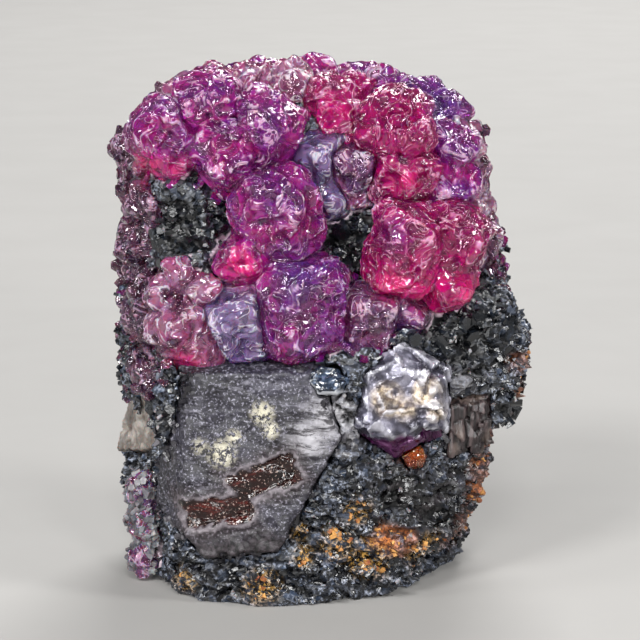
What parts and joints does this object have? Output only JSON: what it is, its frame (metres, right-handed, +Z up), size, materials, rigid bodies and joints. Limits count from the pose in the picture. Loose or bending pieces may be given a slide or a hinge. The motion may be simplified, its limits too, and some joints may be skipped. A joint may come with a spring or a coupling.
{
  "type": "pink sapphire crystal specimen on rock matrix",
  "caption": "Cluster of rounded magenta and hot pink corundum crystals on a block of dark amphibolite with a dusty garnet face, standing on its flat broken base.",
  "frame": {"origin": "middle of the flat broken base that the specimen stands on", "axes": "+Z up through the crystals, the crystal face of the picture looks along -Y, +X to the right in the picture"},
  "size_m": [0.0312, 0.0251, 0.0383],
  "materials": {
    "rock": "dark foliated amphibolite, broken, with glints on the hornblende",
    "garnet": "dull grey-purple skin with pale dust, glossy dark red-brown in the chipped windows",
    "feldspar": "cream, translucent at the edges, satin",
    "mica": "brown, finely striated, pearly",
    "orange": "clear orange-brown, glassy",
    "magenta": "clear magenta to purple, etched glassy faces",
    "hot_pink": "clear hot pink, etched glassy faces",
    "lavender": "clear grey-purple, etched glassy faces",
    "pale_pink": "clear pale pink grains, sugary",
    "silvered": "silvery grey parting face with a bright sheen, purple where it is broken"
  },
  "bodies": {
    "root": {"sapphire_centre": "magenta", "sapphire_right": "hot_pink", "sapphire_lower_centre": "magenta", "sapphire_silvered": "silvered", "hexagonal_plate": "silvered", "sapphire_lavender": "lavender", "sapphire_lower_left": "pale_pink", "sapphire_plum": "magenta", "sapphire_top_left": "magenta", "sapphire_upper_left": "magenta", "sapphire_upper_right": "hot_pink", "sapphire_mauve": "magenta", "sapphire_smoky": "lavender", "sapphire_right_brow": "magenta", "sapphire_pink_crown": "hot_pink", "sapphire_violet_crown": "lavender", "sapphire_pale_crown": "pale_pink", "sapphire_back_crown": "magenta", "sapphire_back_left": "magenta", "sapphire_back_middle": "magenta", "sapphire_back_right": "magenta", "garnet_orange": "orange", "sapphire_chip_upper": "magenta", "sapphire_chip_middle": "magenta", "sapphire_chip_lower": "magenta", "garnet_block": "garnet", "mica_book": "mica", "feldspar_slab": "feldspar", "druse_left": "pale_pink", "druse_right": "pale_pink", "rock_matrix": "rock"}
  },
  "joints": []
}
